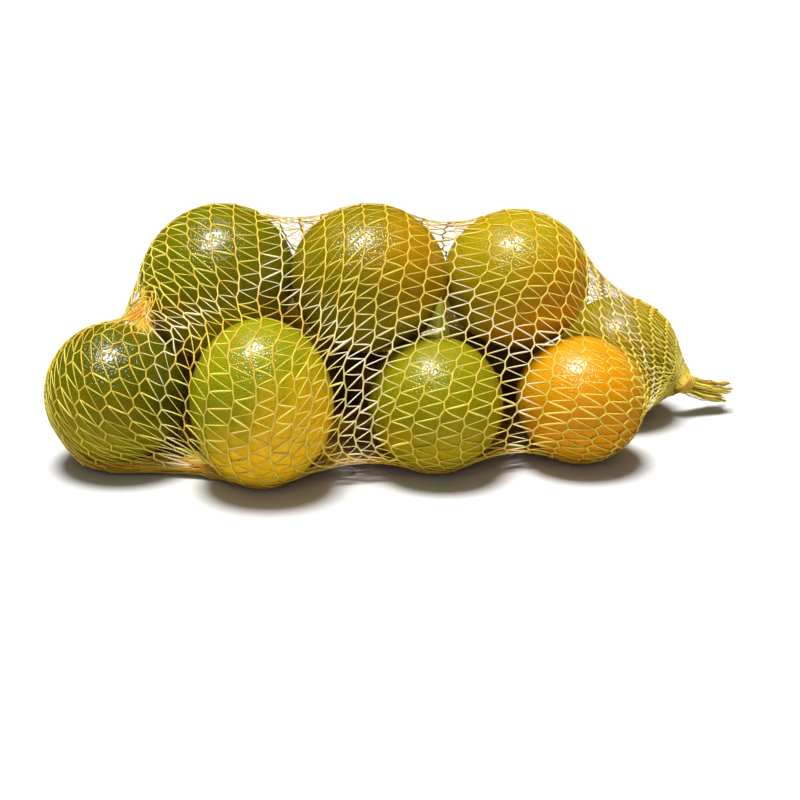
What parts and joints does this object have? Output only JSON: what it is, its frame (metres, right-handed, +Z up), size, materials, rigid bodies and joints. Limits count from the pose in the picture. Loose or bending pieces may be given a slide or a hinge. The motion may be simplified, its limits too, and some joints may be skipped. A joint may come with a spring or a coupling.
{
  "type": "net bag of oranges",
  "caption": "Knitted yellow net bag lying on its side, drawn tight over a heap of green and orange citrus fruit and tied off at both ends.",
  "frame": {"origin": "on the floor, under the middle of the bag's bounding box", "axes": "+X along the bag from its left end to its right end, +Y from its front to its back, +Z up"},
  "size_m": [0.3566, 0.1902, 0.1265],
  "materials": {
    "net": "golden yellow knitted polyethylene tape, glossy",
    "orange_peel": "waxy citrus peel with fine pores, green to orange",
    "leaf": "waxy green leaf"
  },
  "bodies": {
    "root": {"net_bag": "net"}
  },
  "joints": []
}
